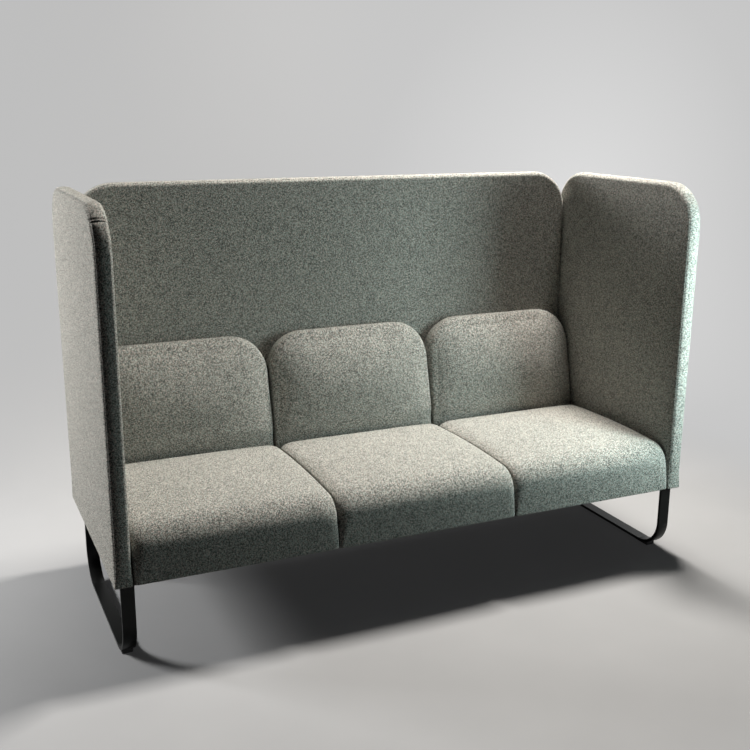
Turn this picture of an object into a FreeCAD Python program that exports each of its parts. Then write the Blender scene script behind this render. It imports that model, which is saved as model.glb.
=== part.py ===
import FreeCAD, Part
import math
import os
import re

import Sketcher
from FreeCAD import Placement, Rotation, Vector

# High-back sofa for three people: three padded panels round three seats, on two flat-bar sleds.
# Millimetres. The front faces -Y, +Z is up, and the origin is on the floor under the middle.

SIZES = (
    ("overall_width", 2000, "across the outer faces of the side panels"),
    ("overall_depth", 775, "from the front edges of the side panels to the back of the back panel"),
    ("overall_height", 1320, "floor to the top of the panels"),
    ("floor_clearance", 250, "floor to the underside of the panels and seats"),
    ("panel_thickness", 54, "padded panel over both faces"),
    ("panel_core", 20, "board inside each panel"),
    ("panel_corner", 140, "radius of each panel's top corners"),
    ("panel_arris", 14, "rounding of a panel's padded edges"),
    ("panel_seam", 3, "slit between the back panel and each side panel"),
    ("core_play", 0.3, "play round a core board's edges"),
    ("seat_gap", 3.5, "slit beside and between the seats"),
    ("seat_setback", 3, "seat fronts behind the panels' front edges"),
    ("seat_pad", 89, "seat's padding at its side edges, over the board"),
    ("seat_crown", 20, "rise of the seat's middle over its side edges"),
    ("seat_edge_crown", 7, "rise of the side edge's own curve"),
    ("seat_front_round", 78, "radius of the waterfall front"),
    ("seat_rear_round", 22, "radius of the seat's rear edge"),
    ("seat_side_round", 8, "rounding of the seat's side seams"),
    ("seat_apron", 42, "padding in front of the front beam"),
    ("seat_board_thickness", 18, "board under each seat"),
    ("seat_board_margin", 6, "seat board inside the seat's sides"),
    ("seat_back_gap", 10, "seat's rear face to the back cushion's flat front"),
    ("back_base_lift", 12, "back cushions' underside over the seat boards"),
    ("back_height", 448, "back cushion from its underside to its top"),
    ("back_top_depth", 70, "back cushion's depth at its top"),
    ("back_lean", 9.6, "lean of the back cushions' fronts, degrees"),
    ("back_corner", 130, "radius of the back cushions' top corners"),
    ("back_cap_corner", 10, "corner radius where a back cushion's crown is level"),
    ("back_round", 34, "rounding of the back cushions' front edges"),
    ("back_crown", 11, "rise of the back cushions' fronts"),
    ("back_draw", 4, "back cushion drawn in at the panel"),
    ("back_board_thickness", 12, "board in each back cushion"),
    ("back_board_margin", 18, "back board inside the cushion's outline"),
    ("beam_width", 30, "front and rear beam tube"),
    ("beam_height", 60, "front and rear beam tube"),
    ("tube_wall", 2.5, "wall of every tube"),
    ("cross_width", 30, "cross members and back arms"),
    ("cross_height", 40, "cross members and back arms"),
    ("plate_thickness", 6, "plates on the tube ends"),
    ("end_plate_rise", 12, "beam's end plate above the beam"),
    ("arm_plate_width", 100, "plate on each back arm"),
    ("arm_plate_height", 56, "plate on each back arm"),
    ("leg_width", 40, "width of the sled's flat bar"),
    ("leg_thickness", 10, "thickness of the sled's flat bar"),
    ("leg_bend", 105, "outer radius of the sled's bends"),
    ("leg_setback", 25, "sled's front face behind the panels' front edges"),
    ("leg_rear_setback", 116, "sled's rear face ahead of the back panel's rear"),
    ("leg_inset", 20, "sled's outer edge inside the panel's outer face"),
    ("flange_thickness", 8, "plate on top of each sled"),
    ("flange_width", 110, "plate on top of each sled, which runs back to the back panel"),
    ("glide_height", 5, "glide's sole below the sled's run"),
    ("glide_width", 33, "glide block"),
    ("glide_length", 66, "glide block"),
    ("glide_setback", 61, "glide's end behind the sled's face"),
    ("glide_chamfer", 2, "chamfer round the glide's sole"),
    ("dust_cover", 1, "cloth under the seats"),
    ("bolt_diameter", 8, "hexagon bolts"),
    ("bolt_head", 5.5, "height of a bolt head and of a weld nut"),
    ("bolt_flats", 13, "across the flats of bolt heads and weld nuts"),
    ("bolt_play", 0.5, "play round a bolt in its hole, on the radius"),
    ("bolt_margin", 15, "bolt's axis to the edge of its plate"),
    ("bolt_grip", 20, "bolt's length beyond the flange's top"),
    ("arm_bolt_spacing", 70, "bolts in one arm plate"),
    ("insert_diameter", 12, "insert nut in a core board"),
    ("insert_cover", 5, "core board left beyond an insert nut"),
    ("screw_diameter", 5, "pan-head screws"),
    ("screw_head_diameter", 9, "pan-head screws"),
    ("screw_head", 3, "height of a screw's head"),
    ("screw_play", 0.1, "play round a screw, dowel or bolt thread, on the radius"),
    ("screw_tip", 3, "board left beyond a screw's tip"),
    ("screw_access", 7, "radius of the access hole under a seat screw"),
    ("seat_screw_spacing", 400, "screws along one beam in one seat"),
    ("back_screw_spacing", 400, "screws across one back board"),
    ("back_screw_rise", 170, "screws up one back board"),
    ("back_screw_base", 100, "lowest back screws over the back cushions' underside"),
    ("panel_screw_length", 48, "screw through the flange into a side core"),
    ("panel_screw_margin", 90, "panel screw's axis to the flange's end"),
    ("dowel_diameter", 10, "dowels across the panel seams"),
    ("dowel_cover", 6, "side core board left beyond a dowel"),
    ("dowel_grip", 28, "dowel in the back core"),
    ("dowel_base", 200, "lowest dowel over the panels' underside"),
    ("dowel_margin", 60, "highest dowel below the start of the top corners"),
    ("glide_screw_margin", 8, "glide screw's axis to the glide's inner end"),
    ("glide_web", 1, "glide left between a screw's head and the sled"),
    ("glide_screw_tip", 2, "sled's bar left beyond a glide screw"),
)

# Places and lengths that follow from the sizes.
DERIVED = (
    ("front", "-overall_depth / 2"),
    ("rear", "overall_depth / 2"),
    ("foam", "(panel_thickness - panel_core) / 2"),
    ("arris", "min(panel_arris; panel_thickness / 2 - 1)"),
    ("panel_middle", "(overall_width - panel_thickness) / 2"),
    ("panel_inner", "overall_width / 2 - panel_thickness"),
    ("back_middle", "rear - panel_thickness / 2"),
    ("back_face", "rear - panel_thickness"),
    ("back_panel_width", "2 * (panel_inner - panel_seam)"),
    ("side_core_width", "overall_depth - 2 * (foam + core_play)"),
    ("back_core_width", "back_panel_width - 2 * (foam + core_play)"),
    ("core_top", "overall_height - foam - core_play"),
    ("core_corner", "panel_corner - foam - core_play"),
    ("side_pocket_width", "overall_depth - 2 * foam"),
    ("back_pocket_width", "back_panel_width - 2 * foam"),
    ("pocket_base", "floor_clearance - foam"),
    ("pocket_top", "overall_height - foam"),
    ("pocket_corner", "panel_corner - foam"),
    ("seat_pitch", "(2 * panel_inner - seat_gap) / 3"),
    ("seat_width", "seat_pitch - seat_gap"),
    ("seat_front", "front + seat_setback"),
    ("beam_top", "floor_clearance + beam_height"),
    ("pad_base", "beam_top + seat_board_thickness"),
    ("seat_edge_height", "pad_base + seat_pad"),
    ("back_base_height", "pad_base + back_base_lift"),
    ("back_top_height", "back_base_height + back_height"),
    ("back_slope", "tan(back_lean * 1 deg)"),
    ("back_front", "back_face - back_top_depth - back_height * back_slope"),
    ("seat_rear", "back_front - seat_back_gap + (pad_base - back_base_height) * back_slope"),
    ("beam_front", "seat_front + seat_apron"),
    ("beam_span", "seat_rear - beam_front"),
    ("beam_length", "2 * (panel_inner - plate_thickness)"),
    ("end_plate_length", "beam_width + 2 * bolt_margin"),
    ("end_plate_height", "beam_height + end_plate_rise"),
    ("front_beam_middle", "beam_front + beam_width / 2"),
    ("rear_beam_middle", "seat_rear - beam_width / 2"),
    ("cross_base", "beam_top - cross_height"),
    ("arm_length", "back_face - plate_thickness - seat_rear"),
    ("leg_front", "front + leg_setback"),
    ("leg_rear", "rear - leg_rear_setback"),
    ("leg_depth", "leg_rear - leg_front"),
    ("leg_top", "floor_clearance - flange_thickness"),
    ("leg_middle", "overall_width / 2 - leg_inset - leg_width / 2"),
    ("bend_height", "glide_height + leg_bend"),
    ("flange_outer", "overall_width / 2 - leg_inset"),
    ("flange_inner", "flange_outer - flange_width"),
    ("flange_length", "back_face - leg_front"),
    ("insert_length", "panel_core - insert_cover"),
    ("dowel_low", "floor_clearance + dowel_base"),
    ("dowel_high", "overall_height - panel_corner - dowel_margin"),
    ("dowel_reach", "panel_inner + foam + panel_core - dowel_cover"),
    ("glide_screw_seat", "glide_height - glide_web"),
    ("glide_screw_length", "glide_height + leg_thickness - glide_screw_tip - glide_screw_seat"),
    ("back_board_width", "seat_width - 2 * back_board_margin"),
    ("back_board_base", "back_base_height + back_board_margin"),
    ("back_board_top", "back_top_height - back_board_margin"),
    ("back_board_corner", "back_corner - back_board_margin"),
)

doc = FreeCAD.newDocument("high_back_sofa")
sheet = doc.addObject("Spreadsheet::Sheet", "Sizes")
for row, (alias, amount, note) in enumerate(SIZES, start=1):
    sheet.set(f"A{row}", note)
    sheet.set(f"B{row}", str(amount))
    sheet.setAlias(f"B{row}", alias)
doc.recompute()

derived = doc.addObject("App::VarSet", "Derived")
SIZE_NAMES = {alias for alias, amount, note in SIZES}
DERIVED_NAMES = {name for name, text in DERIVED}


def formula(text):
    """An expression of the document, from one that holds the plain names of sizes."""

    def owner(match):
        name = match.group()
        if name in SIZE_NAMES:
            return f"Sizes.{name}"
        if name in DERIVED_NAMES:
            return f"Derived.{name}"
        return name

    return re.sub(r"[a-z_]+", owner, text)


def bind(feature, **formulas):
    """Ties properties of a feature to the sizes."""
    for name, text in formulas.items():
        feature.setExpression(name, formula(text))


def bind_place(feature, x="0", y="0", z="0"):
    """Ties the place of a feature to the sizes."""
    for axis, text in (("x", x), ("y", y), ("z", z)):
        feature.setExpression(f"Placement.Base.{axis}", formula(text))


def number(name):
    """The present value of a size or of a derived length."""
    if name in SIZE_NAMES:
        return float(sheet.get(name))
    return float(getattr(derived, name))


for name, text in DERIVED:
    derived.addProperty("App::PropertyFloat", name)
    derived.setExpression(name, formula(text))
doc.recompute()

SEATS = (("left", -1), ("centre", 0), ("right", 1))
SIDES = (("left", -1), ("right", 1))
parts = {}


def keep(label, feature):
    """Makes a feature a sub-part under its own label."""
    feature.Label = label
    parts[label] = feature
    return feature


# Shapes that the sub-parts share


def cylinder(start, axis, radius, length):
    return Part.makeCylinder(radius, length, start, axis)


def hexagon(start, axis, flats, height):
    """A six-sided prism, standing on start along axis."""
    reach = flats / math.sqrt(3)
    angles = [math.radians(turn) for turn in range(0, 361, 60)]
    corners = [Vector(reach * math.cos(angle), reach * math.sin(angle), 0) for angle in angles]
    prism = Part.Face(Part.makePolygon(corners)).extrude(Vector(0, 0, height))
    prism.Placement = Placement(start, Rotation(Vector(0, 0, 1), axis))
    return prism


def bolt(seat, axis, length):
    """A hexagon bolt whose head sits on seat, with its shank along axis."""
    head = hexagon(seat, axis * -1, number("bolt_flats"), number("bolt_head"))
    return head.fuse(cylinder(seat, axis, number("bolt_diameter") / 2, length))


def screw(seat, axis, length):
    """A pan-head screw whose head sits on seat, with its shank along axis."""
    head = cylinder(seat, axis * -1, number("screw_head_diameter") / 2, number("screw_head"))
    return head.fuse(cylinder(seat, axis, number("screw_diameter") / 2, length))


def ring(start, axis, outer, bore, length):
    return cylinder(start, axis, outer, length).cut(cylinder(start, axis, bore, length))


def solid_feature(name, shape):
    feature = doc.addObject("Part::Feature", name)
    feature.Shape = shape
    return feature


def group(label, shapes):
    """Like pieces that share one node, as separate solids."""
    return keep(label, solid_feature(label, Part.makeCompound(shapes)))


def drilled(label, base, holes):
    """A sub-part with holes cut through its base feature."""
    cut = doc.addObject("Part::Cut", f"{label}_drilled")
    cut.Base = base
    cut.Tool = solid_feature(f"{label}_holes", Part.makeCompound(holes))
    return keep(label, cut)


def block(name, size, place):
    """A rectangular block; size and place hold one formula for each axis."""
    box = doc.addObject("Part::Box", name)
    bind(box, Length=size[0], Width=size[1], Height=size[2])
    bind_place(box, *place)
    return box


def tube(name, size, place, along):
    """A rectangular tube with open ends; along is the index of its long axis."""
    outer = block(f"{name}_outer", size, place)
    bore_size = [text if axis == along else f"{text} - 2 * tube_wall" for axis, text in enumerate(size)]
    bore_place = [text if axis == along else f"{text} + tube_wall" for axis, text in enumerate(place)]
    cut = doc.addObject("Part::Cut", name)
    cut.Base = outer
    cut.Tool = block(f"{name}_bore", bore_size, bore_place)
    return cut


def new_sketch(body, role, name):
    """A sketch on one of the body's own origin planes."""
    sketch = body.newObject("Sketcher::SketchObject", name)
    for plane in body.Origin.OriginFeatures:
        if plane.Role == role:
            sketch.AttachmentSupport = (plane, "")
    sketch.MapMode = "FlatFace"
    return sketch


def constrain(sketch, *constraint, name=None, text=None):
    """Adds a constraint, and ties it to a formula if it has one."""
    index = sketch.addConstraint(Sketcher.Constraint(*constraint))
    if name:
        sketch.renameConstraint(index, name)
        sketch.setExpression(f"Constraints.{name}", formula(text))


def segment(start, end):
    return Part.LineSegment(Vector(*start), Vector(*end))


def arc(centre, radius, first, last):
    """An arc that runs counter-clockwise between two angles in degrees."""
    circle = Part.Circle(Vector(*centre), Vector(0, 0, 1), radius)
    return Part.ArcOfCircle(circle, math.radians(first), math.radians(last))


def arched_outline(sketch, width, base, top, corner):
    """A closed outline with a straight base and two rounded top corners, from names of sizes."""
    half = number(width) / 2
    low = number(base)
    high = number(top)
    radius = number(corner)
    sketch.addGeometry(
        [
            segment((-half, low), (half, low)),
            segment((half, low), (half, high - radius)),
            arc((half - radius, high - radius), radius, 0, 90),
            segment((half - radius, high), (radius - half, high)),
            arc((radius - half, high - radius), radius, 90, 180),
            segment((-half, high - radius), (-half, low)),
        ]
    )
    constrain(sketch, "Coincident", 0, 2, 1, 1)
    for edge in (1, 2, 3, 4):
        constrain(sketch, "Tangent", edge, 2, edge + 1, 1)
    constrain(sketch, "Coincident", 5, 2, 0, 1)
    constrain(sketch, "Vertical", 1)
    constrain(sketch, "Horizontal", 3)
    constrain(sketch, "Vertical", 5)
    constrain(sketch, "Equal", 2, 4)
    constrain(sketch, "Symmetric", 0, 1, 0, 2, -2)
    constrain(sketch, "DistanceX", 0, 1, 0, 2, 2 * half, name="width", text=width)
    constrain(sketch, "DistanceY", -1, 1, 0, 1, low, name="base", text=base)
    constrain(sketch, "DistanceY", -1, 1, 3, 1, high, name="top", text=top)
    constrain(sketch, "Radius", 2, radius, name="corner", text=corner)


def padded(body, sketch, name, kind, length):
    """A pad or pocket of a sketch, the same to both sides of its plane."""
    feature = body.newObject(f"PartDesign::{kind}", name)
    feature.Profile = sketch
    feature.SideType = "Symmetric"
    bind(feature, Length=length)
    return feature


def arched_board(name, role, outline, thickness):
    """A flat board with rounded top corners, centred on its plane."""
    body = doc.addObject("PartDesign::Body", name)
    sketch = new_sketch(body, role, f"{name}_outline")
    arched_outline(sketch, *outline)
    padded(body, sketch, f"{name}_pad", "Pad", thickness)
    return body


# Panels


def rim_edges(shape, axis, half, base):
    """Names of the edges round both faces of a slab, without those along its base."""
    names = []
    for index, edge in enumerate(shape.Edges, start=1):
        spread = [abs(vertex.Point[axis]) for vertex in edge.Vertexes]
        heights = [vertex.Z for vertex in edge.Vertexes]
        on_face = all(abs(reach - half) < 0.001 for reach in spread)
        on_base = all(abs(height - base) < 0.001 for height in heights)
        if on_face and not on_base:
            names.append(f"Edge{index}")
    return names


def panel_cover(name, role, axis, outline, pocket_outline):
    """Foam and cloth round a core board: a slab with soft edges, open along its base."""
    body = arched_board(name, role, outline, "panel_thickness")
    doc.recompute()
    pad = body.Tip
    soft = body.newObject("PartDesign::Fillet", f"{name}_arris")
    half = number("panel_thickness") / 2
    soft.Base = (pad, rim_edges(pad.Shape, axis, half, number("floor_clearance")))
    bind(soft, Radius="arris")
    doc.recompute()
    full = body.Shape.Volume
    sketch = new_sketch(body, role, f"{name}_pocket_outline")
    arched_outline(sketch, *pocket_outline)
    padded(body, sketch, f"{name}_pocket", "Pocket", "panel_core")
    doc.recompute()
    if body.Shape.Volume > 0.9 * full:
        raise RuntimeError(f"{name}: the pocket for the core board cuts nothing")
    return body


SIDE_OUTLINE = ("overall_depth", "floor_clearance", "overall_height", "panel_corner")
SIDE_POCKET = ("side_pocket_width", "pocket_base", "pocket_top", "pocket_corner")
SIDE_CORE = ("side_core_width", "floor_clearance", "core_top", "core_corner")
BACK_OUTLINE = ("back_panel_width", "floor_clearance", "overall_height", "panel_corner")
BACK_POCKET = ("back_pocket_width", "pocket_base", "pocket_top", "pocket_corner")
BACK_CORE = ("back_core_width", "floor_clearance", "core_top", "core_corner")
DOWELS_PER_SEAM = 3
X_AXIS = Vector(1, 0, 0)
Y_AXIS = Vector(0, 1, 0)
Z_AXIS = Vector(0, 0, 1)

bolt_radius = number("bolt_diameter") / 2
bolt_hole = bolt_radius + number("bolt_play")
screw_hole = number("screw_diameter") / 2 + number("screw_play")
head_hole = number("screw_head_diameter") / 2 + number("screw_play")
dowel_radius = number("dowel_diameter") / 2
insert_radius = number("insert_diameter") / 2
foam = number("foam")
panel_inner = number("panel_inner")
back_face = number("back_face")
plate = number("plate_thickness")
beam_rows = (number("front_beam_middle"), number("rear_beam_middle"))


def dowels(side, radius):
    """The dowels of one seam, or their holes, from the back core out into the side core."""
    start = number("back_core_width") / 2 - number("dowel_grip")
    low = number("dowel_low")
    spacing = (number("dowel_high") - low) / (DOWELS_PER_SEAM - 1)
    for step in range(DOWELS_PER_SEAM):
        foot = Vector(side * start, number("back_middle"), low + step * spacing)
        yield cylinder(foot, X_AXIS * side, radius, number("dowel_reach") - start)


def side_bolt_seats(side):
    """Where the bolts of one side sit on the beams' end plates."""
    inboard = number("beam_width") + number("bolt_margin")
    height = number("floor_clearance") + number("end_plate_height") / 2
    for y in (number("beam_front") + inboard, number("seat_rear") - inboard):
        yield Vector(side * (panel_inner - plate), y, height)


def back_bolt_seats():
    """Where the bolts sit on the back arms' plates."""
    height = number("beam_top") - number("cross_height") / 2
    for seat_name, step in SEATS:
        for offset in (-0.5, 0.5):
            x = step * number("seat_pitch") + offset * number("arm_bolt_spacing")
            yield Vector(x, back_face - plate, height)


def panel_bolt_runs():
    """Seat and direction of every bolt that holds a panel."""
    for side_name, side in SIDES:
        for seat in side_bolt_seats(side):
            yield seat, X_AXIS * side
    for seat in back_bolt_seats():
        yield seat, Y_AXIS


def bolt_holes(runs):
    """Holes from a bolt's seat up to the core board."""
    return [cylinder(seat, axis, bolt_hole, plate + foam) for seat, axis in runs]


def insert_holes(runs):
    """Blind holes for the insert nuts in a core board's face."""
    return [
        cylinder(seat + axis * (plate + foam), axis, insert_radius, number("insert_length"))
        for seat, axis in runs
    ]


def back_screw_seats():
    """Where the back boards' screws sit, sunk into the rear of the back core."""
    y = number("rear") - foam - number("screw_head")
    low = number("back_base_height") + number("back_screw_base")
    for seat_name, step in SEATS:
        for offset in (-0.5, 0.5):
            x = step * number("seat_pitch") + offset * number("back_screw_spacing")
            for level in (0, 1):
                yield Vector(x, y, low + level * number("back_screw_rise"))


def panel_screw_seats(side):
    """Where the screws under one flange sit."""
    margin = number("panel_screw_margin")
    first = number("leg_front") + margin
    last = number("leg_rear") - margin
    for y in (first, (first + last) / 2, last):
        yield Vector(side * number("panel_middle"), y, number("leg_top"))


back_screw_length = (
    number("rear") - foam - number("screw_head") - back_face
    + number("back_board_thickness") - number("screw_tip")
)
back_screw_holes = [
    cylinder(seat, Y_AXIS * -1, screw_hole, back_screw_length) for seat in back_screw_seats()
]
back_head_holes = [
    cylinder(seat, Y_AXIS, head_hole, number("screw_head")) for seat in back_screw_seats()
]
panel_screw_length = number("panel_screw_length")

for side_name, side in SIDES:
    runs = [(seat, X_AXIS * side) for seat in side_bolt_seats(side)]
    seam_holes = list(dowels(side, dowel_radius + number("screw_play")))
    screw_holes = [
        cylinder(seat, Z_AXIS, screw_hole, panel_screw_length) for seat in panel_screw_seats(side)
    ]
    core = arched_board(f"{side_name}_core", "YZ_Plane", SIDE_CORE, "panel_core")
    bind_place(core, x=f"{side} * panel_middle")
    drilled(f"{side_name}_panel_core", core, insert_holes(runs) + seam_holes + screw_holes)
    cover = panel_cover(f"{side_name}_cover", "YZ_Plane", 0, SIDE_OUTLINE, SIDE_POCKET)
    bind_place(cover, x=f"{side} * panel_middle")
    drilled(f"{side_name}_panel_cover", cover, bolt_holes(runs) + seam_holes)

back_runs = [(seat, Y_AXIS) for seat in back_bolt_seats()]
both_seams = []
for side_name, side in SIDES:
    both_seams += dowels(side, dowel_radius + number("screw_play"))
core = arched_board("back_core", "XZ_Plane", BACK_CORE, "panel_core")
bind_place(core, y="back_middle")
core_holes = insert_holes(back_runs) + both_seams + back_screw_holes + back_head_holes
drilled("back_panel_core", core, core_holes)
cover = panel_cover("back_cover", "XZ_Plane", 1, BACK_OUTLINE, BACK_POCKET)
bind_place(cover, y="back_middle")
drilled("back_panel_cover", cover, bolt_holes(back_runs) + both_seams + back_screw_holes)

group("corner_dowels", [pin for side_name, side in SIDES for pin in dowels(side, dowel_radius)])
panel_bolt_length = plate + foam + number("insert_length")
group("panel_bolts", [bolt(seat, axis, panel_bolt_length) for seat, axis in panel_bolt_runs()])
group(
    "panel_insert_nuts",
    [
        ring(
            seat + axis * (plate + foam),
            axis,
            insert_radius,
            bolt_radius + number("screw_play"),
            number("insert_length"),
        )
        for seat, axis in panel_bolt_runs()
    ],
)

# Underframe


def leg_bolt_seats(side):
    """Where the bolts under one flange sit."""
    inner = number("flange_inner") + number("bolt_margin")
    outer = panel_inner - plate - number("bolt_margin")
    for y in beam_rows:
        for x in (inner, outer):
            yield Vector(side * x, y, number("leg_top"))


def seat_screw_seats():
    """Where the seat screws bear on the roof of each beam, from inside it."""
    height = number("beam_top") - number("tube_wall")
    for seat_name, step in SEATS:
        for offset in (-0.5, 0.5):
            x = step * number("seat_pitch") + offset * number("seat_screw_spacing")
            for y in beam_rows:
                yield Vector(x, y, height)


leg_bolt_length = number("flange_thickness") + number("bolt_grip")
all_leg_seats = [seat for side_name, side in SIDES for seat in leg_bolt_seats(side)]
seat_screw_length = number("tube_wall") + number("seat_board_thickness") - number("screw_tip")
floor_holes = [cylinder(seat, Z_AXIS, bolt_hole, leg_bolt_length) for seat in all_leg_seats]
roof_holes = [cylinder(seat, Z_AXIS, screw_hole, seat_screw_length) for seat in seat_screw_seats()]
access_holes = [
    cylinder(
        Vector(seat.x, seat.y, number("floor_clearance")),
        Z_AXIS,
        number("screw_access"),
        number("tube_wall"),
    )
    for seat in seat_screw_seats()
]

BEAM_SIZE = ("beam_length", "beam_width", "beam_height")
for beam_name, beam_y in (("front_beam", "beam_front"), ("rear_beam", "seat_rear - beam_width")):
    beam = tube(f"{beam_name}_tube", BEAM_SIZE, ("-beam_length / 2", beam_y, "floor_clearance"), 0)
    drilled(beam_name, beam, floor_holes + roof_holes + access_holes)

for seat_name, step in SEATS:
    middle = f"{step} * seat_pitch"
    cross_size = ("cross_width", "beam_span - 2 * beam_width", "cross_height")
    cross_place = (f"{middle} - cross_width / 2", "beam_front + beam_width", "cross_base")
    keep(f"{seat_name}_cross_member", tube(f"{seat_name}_cross", cross_size, cross_place, 1))

    arm_place = (f"{middle} - cross_width / 2", "seat_rear", "cross_base")
    arm = tube(f"{seat_name}_arm_tube", ("cross_width", "arm_length", "cross_height"), arm_place, 1)
    plate_size = ("arm_plate_width", "plate_thickness", "arm_plate_height")
    plate_place = (
        f"{middle} - arm_plate_width / 2",
        "back_face - plate_thickness",
        "beam_top - cross_height / 2 - arm_plate_height / 2",
    )
    weldment = doc.addObject("Part::Fuse", f"{seat_name}_arm_weldment")
    weldment.Base = arm
    weldment.Tool = block(f"{seat_name}_arm_plate", plate_size, plate_place)
    drilled(f"{seat_name}_back_arm", weldment, bolt_holes(back_runs))

end_plates = []
for side_name, side in SIDES:
    inner = min(side * panel_inner, side * (panel_inner - plate))
    holes = bolt_holes([(seat, X_AXIS * side) for seat in side_bolt_seats(side)])
    for y in (number("beam_front"), number("seat_rear") - number("end_plate_length")):
        corner = Vector(inner, y, number("floor_clearance"))
        slab = Part.makeBox(plate, number("end_plate_length"), number("end_plate_height"), corner)
        end_plates.append(slab.cut(Part.makeCompound(holes)))
group("beam_end_plates", end_plates)

cover_size = ("2 * flange_inner", "back_face - beam_front", "dust_cover")
cover_place = ("-flange_inner", "beam_front", "floor_clearance - dust_cover")
keep("dust_cover", block("dust_cover_sheet", cover_size, cover_place))

# Seats


def seat_slice(x, inset, crown):
    """One closed slice of a seat cushion at x: apron, waterfall front, crowned top and leaning rear."""
    low = number("floor_clearance")
    base = number("pad_base")
    apron_rear = number("beam_front")
    front = number("seat_front") + inset
    top = number("seat_edge_height") - inset
    nose = number("seat_front_round")
    heel = number("seat_rear_round")
    lean = number("back_slope")
    rear_low = number("seat_rear") - inset
    rear_high = rear_low + (top - heel - base) * lean
    diagonal = 1 - math.sqrt(0.5)
    rear_top = rear_high - heel

    def at(y, z):
        return Vector(x, y, z)

    nose_low = at(front, top - nose)
    nose_top = at(front + nose, top)
    heel_top = at(rear_top, top)
    heel_low = at(rear_high, top - heel)
    ridge = at((front + nose + rear_top) / 2, top + crown)
    edges = [
        Part.LineSegment(at(front, low), at(apron_rear, low)),
        Part.LineSegment(at(apron_rear, low), at(apron_rear, base)),
        Part.LineSegment(at(apron_rear, base), at(rear_low, base)),
        Part.LineSegment(at(rear_low, base), heel_low),
        Part.Arc(heel_low, at(rear_high - heel * diagonal, top - heel * diagonal), heel_top),
        Part.Arc(heel_top, ridge, nose_top),
        Part.Arc(nose_top, at(front + nose * diagonal, top - nose * diagonal), nose_low),
        Part.LineSegment(nose_low, at(front, low)),
    ]
    return Part.Wire([edge.toShape() for edge in edges])


SEAM_SHARES = (0, 0.3, 1)
CROWN_SHARES = (0.8, 0.45)


def seat_stations():
    """Distance from the seat's middle, draw-in and crown of each slice over half a seat."""
    half = number("seat_width") / 2
    seam = number("seat_side_round")
    edge_crown = number("seat_edge_crown")
    rise = number("seat_crown") - edge_crown
    for share in SEAM_SHARES:
        gap = seam * share
        inset = seam - math.sqrt(seam**2 - (seam - gap) ** 2)
        yield half - gap, inset, edge_crown
    for share in CROWN_SHARES:
        yield half * share, 0, edge_crown + rise * (1 - share**2)


def seat_cushion(name, middle):
    """A crowned seat pad with its front apron."""
    outer = list(seat_stations())
    slices = [seat_slice(middle - reach, inset, crown) for reach, inset, crown in outer]
    slices.append(seat_slice(middle, 0, number("seat_crown")))
    slices += [seat_slice(middle + reach, inset, crown) for reach, inset, crown in reversed(outer)]
    return keep(name, solid_feature(name, Part.makeLoft(slices, True, False)))


for seat_name, step in SEATS:
    seat_cushion(f"{seat_name}_seat_cushion", step * number("seat_pitch"))
    board_size = ("seat_width - 2 * seat_board_margin", "beam_span", "seat_board_thickness")
    board_place = (
        f"{step} * seat_pitch - seat_width / 2 + seat_board_margin",
        "beam_front",
        "beam_top",
    )
    board = block(f"{seat_name}_seat_panel", board_size, board_place)
    drilled(f"{seat_name}_seat_board", board, roof_holes)

group("seat_screws", [screw(seat, Z_AXIS, seat_screw_length) for seat in seat_screw_seats()])

# Back cushions


def back_slice(middle, inset, behind_front, upright=0):
    """One closed outline of a back cushion, drawn in by inset.

    It lies behind_front behind the flat leaning front; upright turns it towards the panel's plane,
    which it reaches at 1 with behind_front then counted from the panel."""
    half = number("seat_width") / 2 - inset
    low = number("back_base_height") + inset
    high = number("back_top_height") - inset
    radius = number("back_corner") - inset
    bow = radius * math.sqrt(0.5)

    def at(x, z):
        lean = (z - number("back_base_height")) * number("back_slope")
        flat = number("back_front") + lean
        return Vector(middle + x, flat + (back_face - flat) * upright + behind_front, z)

    spring = high - radius
    edges = [
        Part.LineSegment(at(-half, low), at(half, low)),
        Part.LineSegment(at(half, low), at(half, spring)),
        Part.Arc(at(half, spring), at(half - radius + bow, spring + bow), at(half - radius, high)),
        Part.LineSegment(at(half - radius, high), at(radius - half, high)),
        Part.Arc(at(radius - half, high), at(radius - half - bow, spring + bow), at(-half, spring)),
        Part.LineSegment(at(-half, spring), at(-half, low)),
    ]
    return Part.Wire([edge.toShape() for edge in edges])


LIP_ANGLE = 75
LIP_STEP = 15
CROWN_STEPS = 4


def back_slices(middle):
    """Outlines of a back cushion from the panel, round the soft front edge, to the crown's level cap."""
    edge = number("back_round")
    board = number("back_board_thickness")
    yield back_slice(middle, number("back_draw"), 0, upright=1)
    yield back_slice(middle, 0, -board, upright=1)
    yield back_slice(middle, 0, (edge - board) / 2, upright=0.5)
    for turn in range(0, LIP_ANGLE + 1, LIP_STEP):
        angle = math.radians(turn)
        inset = edge * (1 - math.cos(angle))
        depth = edge * (1 - math.sin(angle))
        yield back_slice(middle, inset, depth)
    rise = depth + number("back_crown")
    span = number("back_corner") - number("back_cap_corner") - inset
    for step in range(1, CROWN_STEPS + 1):
        share = step / CROWN_STEPS
        yield back_slice(middle, inset + span * share, depth - rise * (1 - (1 - share) ** 2))


def back_cushion(name, middle, board):
    """A leaning cushion with a soft front edge and a crowned face, hollowed for its board."""
    cut = doc.addObject("Part::Cut", name)
    cut.Base = solid_feature(f"{name}_form", Part.makeLoft(list(back_slices(middle)), True, True))
    cut.Tool = board
    return keep(name, cut)


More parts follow.
